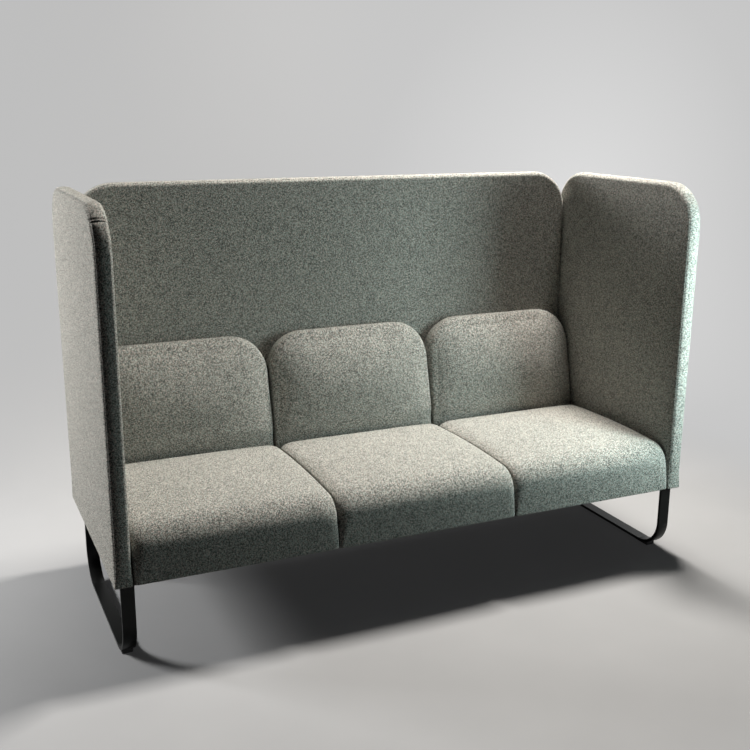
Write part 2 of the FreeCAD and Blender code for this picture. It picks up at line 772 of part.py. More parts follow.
BACK_BOARD = ("back_board_width", "back_board_base", "back_board_top", "back_board_corner")
for seat_name, step in SEATS:
    board = arched_board(f"{seat_name}_back_panel", "XZ_Plane", BACK_BOARD, "back_board_thickness")
    bind_place(board, x=f"{step} * seat_pitch", y="back_face - back_board_thickness / 2")
    doc.recompute()
    back_cushion(f"{seat_name}_back_cushion", step * number("seat_pitch"), board)
    drilled(f"{seat_name}_back_board", board, back_screw_holes)

group(
    "back_board_screws",
    [screw(seat, Y_AXIS * -1, back_screw_length) for seat in back_screw_seats()],
)

# Sled legs


def sled_outline(sketch):
    """The edge of a flat bar bent into a shallow U, from the front face at zero."""
    deep = number("leg_depth")
    thick = number("leg_thickness")
    bend = number("leg_bend")
    low = number("glide_height")
    turn = number("bend_height")
    top = number("leg_top")
    sketch.addGeometry(
        [
            segment((0, top), (0, turn)),
            arc((bend, turn), bend, 180, 270),
            segment((bend, low), (deep - bend, low)),
            arc((deep - bend, turn), bend, 270, 360),
            segment((deep, turn), (deep, top)),
            segment((deep, top), (deep - thick, top)),
            segment((deep - thick, top), (deep - thick, turn)),
            arc((deep - bend, turn), bend - thick, 270, 360),
            segment((deep - bend, low + thick), (bend, low + thick)),
            arc((bend, turn), bend - thick, 180, 270),
            segment((thick, turn), (thick, top)),
            segment((thick, top), (0, top)),
        ]
    )
    for edge in (0, 1, 2, 3):
        constrain(sketch, "Tangent", edge, 2, edge + 1, 1)
    for edge in (4, 5, 10):
        constrain(sketch, "Coincident", edge, 2, edge + 1, 1)
    constrain(sketch, "Coincident", 11, 2, 0, 1)
    constrain(sketch, "Tangent", 6, 2, 7, 2)
    constrain(sketch, "Tangent", 7, 1, 8, 1)
    constrain(sketch, "Tangent", 8, 2, 9, 2)
    constrain(sketch, "Tangent", 9, 1, 10, 1)
    constrain(sketch, "Coincident", 1, 3, 9, 3)
    constrain(sketch, "Coincident", 3, 3, 7, 3)
    for upright in (0, 4, 6, 10):
        constrain(sketch, "Vertical", upright)
    for level in (2, 5, 11):
        constrain(sketch, "Horizontal", level)
    constrain(sketch, "Equal", 1, 3)
    constrain(sketch, "PointOnObject", 0, 1, -2)
    constrain(sketch, "Radius", 1, bend, name="bend", text="leg_bend")
    constrain(sketch, "DistanceX", -1, 1, 4, 2, deep, name="deep", text="leg_depth")
    constrain(sketch, "DistanceY", -1, 1, 2, 1, low, name="low", text="glide_height")
    constrain(sketch, "DistanceY", -1, 1, 0, 1, top, name="front_top", text="leg_top")
    constrain(sketch, "DistanceY", -1, 1, 4, 2, top, name="rear_top", text="leg_top")
    constrain(sketch, "DistanceX", 5, 2, 5, 1, thick, name="rear_thick", text="leg_thickness")
    constrain(sketch, "DistanceX", 11, 2, 11, 1, thick, name="front_thick", text="leg_thickness")


def glide_outline(sketch):
    """A block between the floor and the sled's front bend, from the sled's front face at zero."""
    near = number("glide_setback")
    far = near + number("glide_length")
    bend = number("leg_bend")
    turn = number("bend_height")
    low = number("glide_height")
    dip = math.sqrt(bend**2 - (bend - near) ** 2)
    angle = 180 + math.degrees(math.asin(dip / bend))
    sketch.addGeometry(
        [
            segment((near, 0), (far, 0)),
            segment((far, 0), (far, low)),
            segment((far, low), (bend, low)),
            arc((bend, turn), bend, angle, 270),
            segment((near, turn - dip), (near, 0)),
        ]
    )
    constrain(sketch, "Coincident", 0, 2, 1, 1)
    constrain(sketch, "Coincident", 1, 2, 2, 1)
    constrain(sketch, "Tangent", 2, 2, 3, 2)
    constrain(sketch, "Coincident", 3, 1, 4, 1)
    constrain(sketch, "Coincident", 4, 2, 0, 1)
    constrain(sketch, "Vertical", 1)
    constrain(sketch, "Vertical", 4)
    constrain(sketch, "Horizontal", 2)
    constrain(sketch, "PointOnObject", 0, 1, -1)
    constrain(sketch, "PointOnObject", 0, 2, -1)
    constrain(sketch, "Radius", 3, bend, name="bend", text="leg_bend")
    constrain(sketch, "DistanceX", -1, 1, 3, 3, bend, name="centre", text="leg_bend")
    constrain(sketch, "DistanceY", -1, 1, 3, 3, turn, name="turn", text="bend_height")
    constrain(sketch, "DistanceX", -1, 1, 0, 1, near, name="near", text="glide_setback")
    constrain(sketch, "DistanceX", 0, 1, 0, 2, far - near, name="length", text="glide_length")


def glide_screw_places(side):
    """Axis of the glide screws of one sled, at the sole, front first."""
    inboard = number("glide_setback") + number("glide_length") - number("glide_screw_margin")
    for y in (number("leg_front") + inboard, number("leg_rear") - inboard):
        yield Vector(side * number("leg_middle"), y, 0)


head_top = number("glide_screw_seat")
glide_screw_length = number("glide_screw_length")


def glide_screw_seats(side):
    return [place + Z_AXIS * head_top for place in glide_screw_places(side)]


def glide_block(name, side, end):
    """One glide; end is 1 at the sled's front bend and -1 at its rear bend."""
    body = doc.addObject("PartDesign::Body", name)
    sketch = new_sketch(body, "YZ_Plane", f"{name}_outline")
    glide_outline(sketch)
    padded(body, sketch, f"{name}_pad", "Pad", "glide_width")
    doc.recompute()
    pad = body.Tip
    sole = [
        f"Edge{index}"
        for index, edge in enumerate(pad.Shape.Edges, start=1)
        if all(abs(vertex.Z) < 0.001 for vertex in edge.Vertexes)
    ]
    chamfer = body.newObject("PartDesign::Chamfer", f"{name}_chamfer")
    chamfer.Base = (pad, sole)
    bind(chamfer, Size="glide_chamfer")
    if end < 0:
        body.Placement = Placement(Vector(), Rotation(Z_AXIS, 180))
    bind_place(body, x=f"{side} * leg_middle", y="leg_front" if end > 0 else "leg_rear")
    return body


FLANGE_SIZE = ("flange_width", "flange_length", "flange_thickness")
for side_name, side in SIDES:
    sled = doc.addObject("PartDesign::Body", f"{side_name}_sled")
    outline = new_sketch(sled, "YZ_Plane", f"{side_name}_sled_outline")
    sled_outline(outline)
    padded(sled, outline, f"{side_name}_sled_pad", "Pad", "leg_width")
    bind_place(sled, x=f"{side} * leg_middle", y="leg_front")
    thread_holes = [
        cylinder(seat, Z_AXIS, screw_hole, glide_screw_length) for seat in glide_screw_seats(side)
    ]
    head_holes = [cylinder(place, Z_AXIS, head_hole, head_top) for place in glide_screw_places(side)]
    drilled(f"{side_name}_sled_leg", sled, thread_holes)
    for end_name, end in (("front", 1), ("rear", -1)):
        blank = glide_block(f"{end_name}_{side_name}_block", side, end)
        drilled(f"{end_name}_{side_name}_glide", blank, thread_holes + head_holes)

    flange_x = "flange_inner" if side > 0 else "-flange_outer"
    flange = block(f"{side_name}_flange_plate", FLANGE_SIZE, (flange_x, "leg_front", "leg_top"))
    flange_holes = [
        cylinder(seat, Z_AXIS, screw_hole, panel_screw_length) for seat in panel_screw_seats(side)
    ]
    drilled(f"{side_name}_leg_flange", flange, floor_holes + flange_holes)

glide_seats = [seat for side_name, side in SIDES for seat in glide_screw_seats(side)]
group("glide_screws", [screw(seat, Z_AXIS, glide_screw_length) for seat in glide_seats])
panel_seats = [seat for side_name, side in SIDES for seat in panel_screw_seats(side)]
group("panel_screws", [screw(seat, Z_AXIS, panel_screw_length) for seat in panel_seats])
group("leg_bolts", [bolt(seat, Z_AXIS, leg_bolt_length) for seat in all_leg_seats])

nut_bore = bolt_radius + number("screw_play")
nut_lift = number("flange_thickness") + number("tube_wall")
weld_nuts = []
for seat in all_leg_seats:
    start = seat + Z_AXIS * nut_lift
    nut = hexagon(start, Z_AXIS, number("bolt_flats"), number("bolt_head"))
    weld_nuts.append(nut.cut(cylinder(start, Z_AXIS, nut_bore, number("bolt_head"))))
group("weld_nuts", weld_nuts)

# Checks and files

doc.recompute()
for feature in doc.Objects:
    if "Invalid" in feature.State or "Error" in feature.State:
        raise RuntimeError(f"{feature.Label} failed: {feature.State}")
for label, feature in parts.items():
    shape = feature.Shape
    if shape.isNull() or not shape.isValid() or not shape.Solids:
        raise RuntimeError(f"{label} has no valid solid")
    print(f"{label}: {len(shape.Solids)} solids, {shape.Volume / 1000:.1f} cm3")

os.makedirs("parts", exist_ok=True)
for label, feature in parts.items():
    feature.Shape.exportStep(f"parts/{label}.step")
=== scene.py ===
import math

import bmesh
import bpy
import numpy as np
from mathutils import Matrix, Vector


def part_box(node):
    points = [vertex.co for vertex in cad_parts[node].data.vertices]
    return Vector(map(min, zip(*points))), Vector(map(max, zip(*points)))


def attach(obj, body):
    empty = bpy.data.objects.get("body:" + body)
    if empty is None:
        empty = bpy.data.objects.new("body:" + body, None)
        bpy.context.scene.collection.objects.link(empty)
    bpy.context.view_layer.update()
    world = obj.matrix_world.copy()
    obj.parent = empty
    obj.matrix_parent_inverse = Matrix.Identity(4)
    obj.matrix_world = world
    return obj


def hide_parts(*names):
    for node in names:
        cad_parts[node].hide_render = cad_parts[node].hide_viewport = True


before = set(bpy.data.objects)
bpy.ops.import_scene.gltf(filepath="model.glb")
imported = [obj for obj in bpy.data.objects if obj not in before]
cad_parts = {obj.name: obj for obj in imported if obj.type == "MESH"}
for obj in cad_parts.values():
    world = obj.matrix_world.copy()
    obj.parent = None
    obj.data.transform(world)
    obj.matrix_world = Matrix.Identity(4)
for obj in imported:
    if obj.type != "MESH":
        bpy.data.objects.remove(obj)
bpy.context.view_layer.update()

# Places from the frame
left_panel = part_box("left_panel_cover")
right_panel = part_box("right_panel_cover")
back_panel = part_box("back_panel_cover")
back_face = back_panel[0].y
dust_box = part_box("dust_cover")
SEATS = ("left", "centre", "right")

# Sewn panels: a rounded top, small foot corners, and an arris that is softer above the foot
PANEL_THICKNESS = left_panel[1].x - left_panel[0].x
SIDE_HALF_DEPTH = (left_panel[1].y - left_panel[0].y) / 2
BACK_HALF_WIDTH = (back_panel[1].x - back_panel[0].x) / 2
PANEL_CORNER = 0.140
PANEL_FOOT_CORNER = 0.006
PANEL_ARRIS = 0.015
PANEL_FOOT_SOFTNESS = 0.2
PANEL_SOFT_HEIGHT = 0.06
PANEL_SEAM_ANGLE = 46
PANEL_PILLOW = 0.0022
PANEL_PILLOW_POWER = 8
PANEL_SINK = 0.0012
PANEL_BAND_BOW = 0.0012
PANEL_BAND_ROWS = 6
PANEL_UPRIGHT_COUNT = 44
SIDE_COUNT = 32
BACK_PANEL_COUNT = 84
TOP_CORNERS = (1, 2)

# Seat cushions: radii of nose, heel and hem, then the crown, the shoulders and the apron
SEAT_NOSE = 0.082
SEAT_HEEL = 0.030
SEAT_HEM = 0.005
SEAT_BOW = 0.007
SEAT_RISE = 0.008
SEAT_CROWN_SKEW = 0.8
SEAT_CROWN_POWER = 2.5
SEAT_SHOULDER = (0.058, 0.023)
SEAT_FOOT_SOFTNESS = 0.25
SEAT_HIDDEN_SOFTNESS = 0.12
SEAT_SEAM_ANGLE = 12
SEAT_APRON = 0.042
SEAT_FRONT_COUNT = 9
SEAT_NOSE_STEP = 7.5
SEAT_TOP_COUNT = 44
SEAT_HEEL_STEP = 15
SEAT_REAR_COUNT = 6
SEAT_APRON_COUNT = 12
SEAT_HEM_COUNT = 6
SEAT_ROWS = 52
SEAT_HELD_ROWS = 6
SEAT_HELD_HEM = 3

# Back cushions: corners, shoulders and the roll of the front, then the lean, the dome and the tuck
BACK_CORNER = 0.130
BACK_FOOT_CORNER = 0.034
BACK_FOOT_SOFTNESS = 0.3
BACK_SHOULDER = (0.020, 0.018)
BACK_ROLL = (0.125, 0.024)
BACK_ROLL_POWER = 2.5
BACK_SEAM_ANGLE = 68
BACK_REAR_SHOULDER = (0.014, 0.030)
BACK_SIDE_GAP = 0.0025
BACK_TOP_DEPTH = 0.070
BACK_LEAN = 9.6
BACK_RISE = 0.038
BACK_TUCK = 0.012
BACK_TUCK_HEIGHT = 0.05
BACK_DOME_START = 0.1
BACK_DOME_POWER = 2
BACK_BAND_ROWS = 7
BACK_TOP_COUNT = 40
BACK_UPRIGHT_COUNT = 30
BACK_FREE_ROWS = 4

# Stuffing and sewing
START_SHARE = 0.6
STUFFING_FRAMES = 20
SMOOTHING = 30
SEAM_GROOVE = 0.0012
SEAM_HALF_WIDTH = 0.0017
SEAM_CLEARANCE = 1.4
FACE_LEAD = 0.008
SHOULDER_ANGLES = (0, 15, 30, 45, 60, 75, 90)
TURN_ANGLES = (0, 0.9, 2.05, 3.2, 6, 11, 17, 24, 31, 38)
CROSS_SEAM_STEP = 2
CROSS_SEAM_GROOVE = 0.0032
EIGHTH = 45

# Weave: sizes of a thread and a fibre, then how many patches, dye clouds and hairs go on a metre
THREAD = 0.0017
FIBRE = 0.0042
YARN_STEP = 3.7
FLECK = 0.40
PATCHES = 28.0
PATCH_SHARE = 0.05
DYE_CLOUDS = 170.0
HAIRS = 1900.0
WEAVE_DEPTH = 0.0005

# Where each cover is cut from the cloth, so that no two show the same weave
PANEL_CUTS = {"left_panel": (0.31, 0.17), "right_panel": (2.43, 1.29), "back_panel": (5.57, 3.11)}
SEAT_CUT = (0.83, 7.7)
SEAT_CUT_STEP = 1.37
BACK_CUT = (9.1, 4.9)
BACK_CUT_STEP = 1.13

# Dust cover
DUST_SAG = 0.002
DUST_INSET = 0.0006
DUST_COUNTS = (88, 34)

# Eased edges of the bars and blocks
EASED = ("sled_leg", "leg_flange", "glide", "beam", "cross_member", "back_arm")
WELD_GAP = 0.00002
EDGE_EASE = 0.0008
EDGE_ANGLE = 35

# Studio: a sweep of floor, curve and wall, which fades from floor to a painted glow away from the sofa, a
# pool of light painted on the wall that is brightest at GLOW_PLACE and dims over GLOW_REACH
SWEEP_REACH = 7.0
SWEEP_START = 0.9
SWEEP_RADIUS = 1.1
SWEEP_HEIGHT = 4.6
SWEEP_STEPS = 24
# FLOOR_GLOW is an even painted glow on the floor, a fill that lifts the sofa's shadow
FLOOR_GLOW = 0.045
FADE = (1.2, 2.3)
GLOW_PLACE = (2.2, 2.0, 0.9)
GLOW_REACH = 4.0
BEYOND = (0.52, 0.52, 0.52)
SURROUND_STRENGTH = 0.015

# Photograph's viewpoint
CAMERA_PLACE = (-1.42885, -3.08906, 1.58292)
CAMERA_YAW = 24.44
CAMERA_PITCH = -14.91
CAMERA_ROLL = 0.32
CAMERA_LENS = 49.47
SENSOR = 36


# Materials


class Graph:
    """A material's nodes, with short calls for the kinds used here."""

    def __init__(self, name):
        self.material = bpy.data.materials.new(name)
        self.material.use_nodes = True
        self.tree = self.material.node_tree
        self.tree.nodes.clear()
        self.output = self.add("OutputMaterial")

    def add(self, kind, inputs=(), **settings):
        """A new node; inputs are pairs of a socket's name or number and a value or another socket."""
        node = self.tree.nodes.new("ShaderNode" + kind)
        for key, value in settings.items():
            setattr(node, key, value)
        for key, value in dict(inputs).items():
            if isinstance(value, bpy.types.NodeSocket):
                self.tree.links.new(value, node.inputs[key])
            else:
                node.inputs[key].default_value = value
        return node

    def math(self, operation, *values):
        return self.add("Math", enumerate(values), operation=operation).outputs[0]

    def vector(self, operation, *values):
        return self.add("VectorMath", enumerate(values), operation=operation).outputs[0]

    def scale(self, vector, factor):
        return self.add("VectorMath", {0: vector, "Scale": factor}, operation="SCALE").outputs[0]

    def distance(self, first, second):
        return self.add("VectorMath", {0: first, 1: second}, operation="DISTANCE").outputs["Value"]

    def split(self, vector):
        return self.add("SeparateXYZ", {0: vector}).outputs

    def join(self, *values):
        return self.add("CombineXYZ", enumerate(values)).outputs[0]

    def noise(self, vector, scale, detail=2.0, **settings):
        inputs = {"Vector": vector, "Scale": scale, "Detail": detail}
        return self.add("TexNoise", inputs, **settings).outputs[0]

    def blend(self, share, first, second):
        """First where share is 0, second where it is 1."""
        return self.add("Mix", {0: share, 2: first, 3: second}, data_type="FLOAT").outputs[0]

    def ramp(self, share, stops):
        """A colour from stops of a share and a colour."""
        node = self.add("ValToRGB", {0: share})
        elements = node.color_ramp.elements
        while len(elements) < len(stops):
            elements.new(1)
        for element, (place, colour) in zip(elements, stops):
            element.position = place
            element.color = (*colour, 1)
        return node.outputs[0]

    def remap(self, value, low, high):
        """A value from 0 to 1 spread between low and high."""
        return self.add("MapRange", {0: value, 3: low, 4: high}).outputs[0]

    def bump(self, height, distance, strength=1.0):
        inputs = {"Height": height, "Distance": distance, "Strength": strength}
        return self.add("Bump", inputs).outputs[0]

    def finish(self, **inputs):
        """The material, with a principled surface of these inputs."""
        named = {key.replace("_", " "): value for key, value in inputs.items()}
        surface = self.add("BsdfPrincipled", named)
        self.tree.links.new(surface.outputs[0], self.output.inputs[0])
        return self.material


def upholstery():
    """Melange wool cloth: a plain weave of yarns spun from dark green-grey, grey and cream fibres."""
    g = Graph("upholstery_weave")
    cloth = g.add("UVMap", uv_map="weave").outputs[0]
    threads = g.scale(cloth, 1 / THREAD)
    yarn = g.split(g.vector("FLOOR", threads))
    inside = g.split(g.vector("FRACTION", threads))
    along = g.split(g.scale(cloth, 1 / FIBRE))
    warp_over = g.math("FLOORED_MODULO", g.math("ADD", yarn[0], yarn[1]), 2.0)

    apart = [g.math("MULTIPLY", part, YARN_STEP) for part in yarn[:2]]
    warp = g.noise(g.join(apart[0], along[1], 0.0), 1.0, noise_dimensions="2D")
    weft = g.noise(g.join(along[0], apart[1], 0.0), 1.0, noise_dimensions="2D")
    knot = g.add("TexWhiteNoise", {0: g.vector("FLOOR", threads)}, noise_dimensions="2D").outputs[0]
    shade = g.blend(warp_over, weft, warp)
    shade = g.math("MULTIPLY_ADD", g.math("SUBTRACT", knot, 0.5), FLECK, shade)
    patches = g.noise(cloth, PATCHES, 3.0, noise_dimensions="2D")
    shade = g.math("MULTIPLY_ADD", g.math("SUBTRACT", patches, 0.5), PATCH_SHARE, shade)
    colour = g.ramp(
        shade,
        (
            (0.33, (0.048, 0.053, 0.050)),
            (0.46, (0.204, 0.206, 0.198)),
            (0.54, (0.408, 0.398, 0.380)),
            (0.67, (0.815, 0.782, 0.750)),
        ),
    )
    dye = g.noise(cloth, DYE_CLOUDS, 2.0, noise_dimensions="2D")
    tint = g.ramp(dye, ((0.36, (1.0, 0.90, 0.85)), (0.62, (0.88, 0.97, 0.94))))
    colour = g.vector("MULTIPLY", colour, tint)

    across = [g.math("SINE", g.math("MULTIPLY", part, math.pi)) for part in inside[:2]]
    warp_height = g.math("MULTIPLY", across[0], g.math("MULTIPLY_ADD", across[1], 0.45, 0.55))
    weft_height = g.math("MULTIPLY", across[1], g.math("MULTIPLY_ADD", across[0], 0.45, 0.55))
    fuzz = g.noise(cloth, HAIRS, 3.0, noise_dimensions="2D")
    height = g.math("MULTIPLY_ADD", fuzz, 0.5, g.blend(warp_over, weft_height, warp_height))
    return g.finish(
        Base_Color=colour,
        Roughness=g.remap(knot, 0.82, 0.96),
        Specular_IOR_Level=0.1,
        Sheen_Weight=0.22,
        Sheen_Roughness=0.45,
        Sheen_Tint=(0.93, 0.95, 0.90, 1),
        Normal=g.bump(height, WEAVE_DEPTH, 0.7),
    )


def powder_coat():
    """Satin black powder coat with a fine orange peel and a little dust on it."""
    g = Graph("satin_black_coat")
    place = g.add("TexCoord").outputs["Object"]
    peel = g.noise(place, 620.0, 2.0)
    cloud = g.noise(place, 14.0, 4.0)
    colour = g.ramp(cloud, ((0.35, (0.0045, 0.005, 0.0048)), (0.7, (0.009, 0.0095, 0.009))))
    return g.finish(
        Base_Color=colour,
        Roughness=g.remap(cloud, 0.30, 0.42),
        Specular_IOR_Level=0.12,
        Normal=g.bump(peel, 0.00012, 0.5),
    )


def black_plastic():
    """Matte moulded plastic with a spark-eroded grain."""
    g = Graph("matte_black_plastic")
    place = g.add("TexCoord").outputs["Object"]
    grain = g.noise(place, 1400.0, 3.0)
    colour = g.ramp(grain, ((0.3, (0.007, 0.007, 0.0075)), (0.7, (0.015, 0.015, 0.016))))
    return g.finish(
        Base_Color=colour,
        Roughness=g.remap(grain, 0.5, 0.68),
        Specular_IOR_Level=0.4,
        Normal=g.bump(grain, 0.0001, 0.6),
    )


def zinc():
    """Zinc-plated steel with faint drawn lines."""
    g = Graph("zinc_plate")
    place = g.add("TexCoord").outputs["Object"]
    drawn = g.noise(g.vector("MULTIPLY", place, (900.0, 900.0, 60.0)), 1.0, 3.0)
    colour = g.ramp(drawn, ((0.3, (0.47, 0.48, 0.50)), (0.7, (0.66, 0.66, 0.65))))
    return g.finish(
        Base_Color=colour,
        Metallic=1.0,
        Roughness=g.remap(drawn, 0.26, 0.44),
        Normal=g.bump(drawn, 0.00004, 0.4),
    )


def board():
    """Birch plywood: pale plies across the thickness and a streaked grain along it."""
    g = Graph("birch_board")
    place = g.add("TexCoord").outputs["Object"]
    grain = g.noise(g.vector("MULTIPLY", place, (9.0, 9.0, 160.0)), 1.0, 5.0)
    plies = g.noise(g.vector("MULTIPLY", place, (640.0, 640.0, 3.0)), 1.0, 1.0)
    mixed = g.math("MULTIPLY_ADD", plies, 0.35, g.math("MULTIPLY", grain, 0.65))
    colour = g.ramp(
        mixed,
        ((0.3, (0.36, 0.24, 0.13)), (0.5, (0.56, 0.41, 0.25)), (0.7, (0.70, 0.55, 0.37))),
    )
    return g.finish(
        Base_Color=colour,
        Roughness=g.remap(grain, 0.55, 0.75),
        Specular_IOR_Level=0.3,
        Normal=g.bump(mixed, 0.0003, 0.5),
    )


def dust_cloth():
    """Black spun-bonded cloth: matted fibres and a grid of bonding points."""
    g = Graph("spun_bond_cloth")
    place = g.add("TexCoord").outputs["Object"]
    fibres = g.noise(place, 900.0, 4.0)
    bonds = g.add("TexVoronoi", {"Vector": place, "Scale": 420.0, "Randomness": 0.25}).outputs[0]
    colour = g.ramp(fibres, ((0.3, (0.012, 0.012, 0.013)), (0.7, (0.034, 0.034, 0.036))))
    height = g.math("ADD", g.math("MULTIPLY", fibres, 0.6), bonds)
    return g.finish(
        Base_Color=colour,
        Roughness=g.remap(fibres, 0.85, 1.0),
        Specular_IOR_Level=0.15,
        Sheen_Weight=0.1,
        Normal=g.bump(height, 0.0002, 0.5),
    )


FINISHES = {
    "upholstery": upholstery(),
    "black_powder_coat": powder_coat(),
    "black_plastic": black_plastic(),
    "zinc_steel": zinc(),
    "board": board(),
    "dust_cloth": dust_cloth(),
}


# Outlines: closed rows of points, clockwise, so that the outside is to the left of travel


def line(start, end, count):
    """Points from start up to, not at, the end."""
    shares = np.arange(count)[:, None] / count
    return np.array(start) * (1 - shares) + np.array(end) * shares


def bow(start, end, rise, count):
    """Points of a shallow arch from start up to, not at, the end."""
    shares = np.arange(count)[:, None] / count
    return line(start, end, count) + (0, 4 * rise) * shares * (1 - shares)


def arc(centre, radius, angles):
    """Points of a rounded corner at these angles, in degrees."""
    turn = np.radians(angles)
    return np.array(centre) + radius * np.stack([np.cos(turn), np.sin(turn)], axis=1)


class Outline:
    """Four sides joined into a closed row of points, with the way out of each point."""

    def __init__(self, sides):
        self.points = np.concatenate(sides)
        self.corners = [sum(len(side) for side in sides[:number]) for number in range(len(sides))]
        steps = np.roll(self.points, -1, axis=0) - self.points
        lengths = np.linalg.norm(steps, axis=1, keepdims=True)
        out = np.stack([-steps[:, 1], steps[:, 0]], axis=1) / lengths
        before = np.roll(out, 1, axis=0)
        self.normals = (out + before) / (1 + np.sum(out * before, axis=1, keepdims=True))
        self.along = np.concatenate([[0], np.cumsum(lengths)])
        self.grooves = np.zeros(len(self.points))


def arch_outline(half, low, high, top_corner, foot_corner, across_count, upright_count):
    """A panel seen from its face, with large top corners and small foot corners.

    It starts at the middle of the left foot's corner."""
    corners = (
        ((foot_corner - half, low + foot_corner), foot_corner, 225),
        ((top_corner - half, high - top_corner), top_corner, 135),
        ((half - top_corner, high - top_corner), top_corner, 45),
        ((half - foot_corner, low + foot_corner), foot_corner, -45),
    )
    sides = []
    for number, (centre, radius, middle) in enumerate(corners):
        next_centre, next_radius, _ = corners[(number + 1) % len(corners)]
        turned = middle - EIGHTH
        leaving = arc(centre, radius, [middle - step for step in TURN_ANGLES])
        ends = [arc(*corner, [turned])[0] for corner in ((centre, radius), (next_centre, next_radius))]
        straight = line(*ends, across_count if number % 2 else upright_count)
        arriving = [turned - EIGHTH + step for step in reversed((*TURN_ANGLES[1:], EIGHTH))]
        sides.append(np.concatenate([leaving, straight, arc(next_centre, next_radius, arriving)]))
    return Outline(sides)


def seat_outline():
    """A seat seen from its left end.

    It has a waterfall front, a crowned top, a leaning rear, and an apron under the front."""
    lowest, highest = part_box("centre_seat_cushion")
    board_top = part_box("centre_seat_board")[1].z
    front, low, rear = lowest.y, lowest.z, highest.y
    top = highest.z - SEAT_BOW - SEAT_RISE
    apron = front + SEAT_APRON
    heel = (rear - SEAT_HEEL, top - SEAT_HEEL)
    base_rear = rear - (heel[1] - board_top) * math.tan(math.radians(BACK_LEAN))
    outer = np.concatenate([
        arc((front + SEAT_HEM, low + SEAT_HEM), SEAT_HEM, (225, 195)),
        line((front, low + SEAT_HEM), (front, top - SEAT_NOSE), SEAT_FRONT_COUNT),
        arc((front + SEAT_NOSE, top - SEAT_NOSE), SEAT_NOSE, np.arange(180, 90, -SEAT_NOSE_STEP)),
        bow((front + SEAT_NOSE, top), (heel[0], top), SEAT_BOW, SEAT_TOP_COUNT),
        arc(heel, SEAT_HEEL, np.arange(90, 0, -SEAT_HEEL_STEP)),
    ])
    back = line((rear, heel[1]), (base_rear, board_top), SEAT_REAR_COUNT)
    base = line((base_rear, board_top), (apron, board_top), len(outer) - SEAT_APRON_COUNT)
    inside = line((apron, board_top), (apron, low), SEAT_APRON_COUNT)
    under = line((apron, low), (front + SEAT_HEM, low), SEAT_HEM_COUNT)
    return Outline((outer, back, np.concatenate([base, inside]), under))


# Sewn covers


def shoulder_angles(reach, seam):
    """Angles round a shoulder from the face to the band, close together beside a seam."""
    if seam is None:
        return list(SHOULDER_ANGLES)
    beside = math.degrees(SEAM_HALF_WIDTH / reach)
    kept = [angle for angle in SHOULDER_ANGLES if abs(angle - seam) > SEAM_CLEARANCE * beside]
    return sorted(kept + [seam - beside, seam, seam + beside])


def shoulder_rows(outline, half, shoulder, seam, softness):
    """Rows of points from a face's rim over its shoulder, and the number of the sewn row.

    A shoulder is how far it reaches into the face and how far it falls over the band."""
    into, over = (size * softness for size in shoulder)
    rows = [(into + FACE_LEAD * softness, np.zeros_like(softness))]
    angles = shoulder_angles(max(shoulder), seam)
    for angle in angles:
        turn = math.radians(angle)
        sunk = SEAM_GROOVE * softness if angle == seam else 0
        inset = into * (1 - math.sin(turn)) + (sunk + outline.grooves) * math.sin(turn)
        drop = over * (1 - math.cos(turn)) + sunk * math.cos(turn)
        rows.append((inset, drop))
    placed = [np.column_stack([outline.points - outline.normals * inset[:, None], half - drop])
              for inset, drop in rows]
    return placed, 1 + angles.index(seam if seam is not None else angles[-1])


def fill(loop, corners):
    """A grid of points that fills a closed loop between four of its points, and its shares both ways."""
    closed = np.concatenate([loop, loop[:1]])
    left = closed[corners[0]:corners[1] + 1]
    top = closed[corners[1]:corners[2] + 1]
    right = closed[corners[2]:corners[3] + 1][::-1]
    base = closed[corners[3]:][::-1]

    def shares(*rows):
        lengths = [np.linalg.norm(np.diff(row, axis=0), axis=1) for row in rows]
        return np.mean([np.concatenate([[0], np.cumsum(steps)]) / steps.sum() for steps in lengths], axis=0)

    u = shares(top, base)[:, None, None]
    v = shares(left, right)[None, :, None]
    ruled = (1 - v) * base[:, None] + v * top[:, None] + (1 - u) * left[None] + u * right[None]
    bent = (1 - u) * ((1 - v) * base[0] + v * top[0]) + u * ((1 - v) * base[-1] + v * top[-1])
    return ruled - bent, u[..., 0], v[..., 0]


def closed_rows(rows):
    """Rows of points with each row's first repeated at its end."""
    return np.concatenate([rows, rows[:, :1]], axis=1)


def spread(rows):
    """How far each row is from the first, along the cloth."""
    steps = np.linalg.norm(np.diff(rows, axis=0), axis=2)
    return np.concatenate([0 * steps[:1], np.cumsum(steps, axis=0)])


